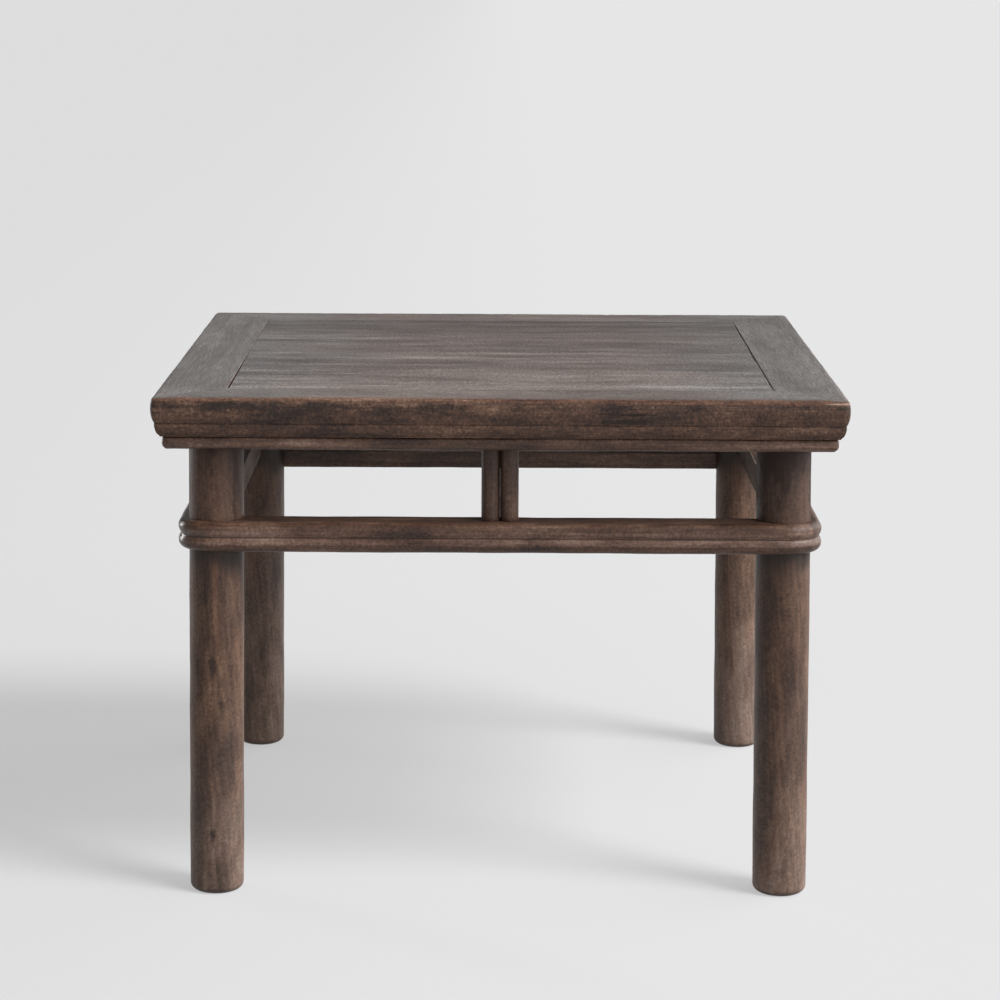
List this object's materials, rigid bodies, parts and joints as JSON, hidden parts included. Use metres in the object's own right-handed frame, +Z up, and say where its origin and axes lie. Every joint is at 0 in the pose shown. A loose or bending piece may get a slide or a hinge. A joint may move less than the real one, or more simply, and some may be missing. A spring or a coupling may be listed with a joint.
{
  "type": "side table",
  "caption": "Low square side table in weathered dark hardwood: moulded frame-and-panel top, round legs, wrapped double-beaded stretchers and short paired struts.",
  "frame": {"origin": "on the floor under the middle of the square top", "axes": "+Z up, the pictured front faces -Y, +X to the right seen from the front"},
  "size_m": [0.66, 0.66, 0.495],
  "materials": {
    "weathered_top": "weathered, greyed and worn smooth, dull satin",
    "dark_moulding": "old dark brown stain worn at the edges, satin",
    "worn_leg": "dark brown stain with long grain, paler towards the foot, dull satin",
    "raw_batten": "planed and unfinished, darkened by age",
    "bamboo": "split and rounded, unfinished"
  },
  "bodies": {
    "root": {"batten_left": "raw_batten", "batten_right": "raw_batten", "edge_strip_front": "dark_moulding", "edge_strip_left": "dark_moulding", "edge_strip_pins": "bamboo", "edge_strip_rear": "dark_moulding", "edge_strip_right": "dark_moulding", "leg_front_left": "worn_leg", "leg_front_right": "worn_leg", "leg_rear_left": "worn_leg", "leg_rear_right": "worn_leg", "panel_board_front": "weathered_top", "panel_board_middle": "weathered_top", "panel_board_rear": "weathered_top", "stretcher_front": "dark_moulding", "stretcher_left": "dark_moulding", "stretcher_rear": "dark_moulding", "stretcher_right": "dark_moulding", "strut_front_1": "dark_moulding", "strut_front_2": "dark_moulding", "strut_left_1": "dark_moulding", "strut_left_2": "dark_moulding", "strut_rear_1": "dark_moulding", "strut_rear_2": "dark_moulding", "strut_right_1": "dark_moulding", "strut_right_2": "dark_moulding", "top_rail_front": "weathered_top", "top_rail_left": "weathered_top", "top_rail_rear": "weathered_top", "top_rail_right": "weathered_top"}
  },
  "joints": []
}
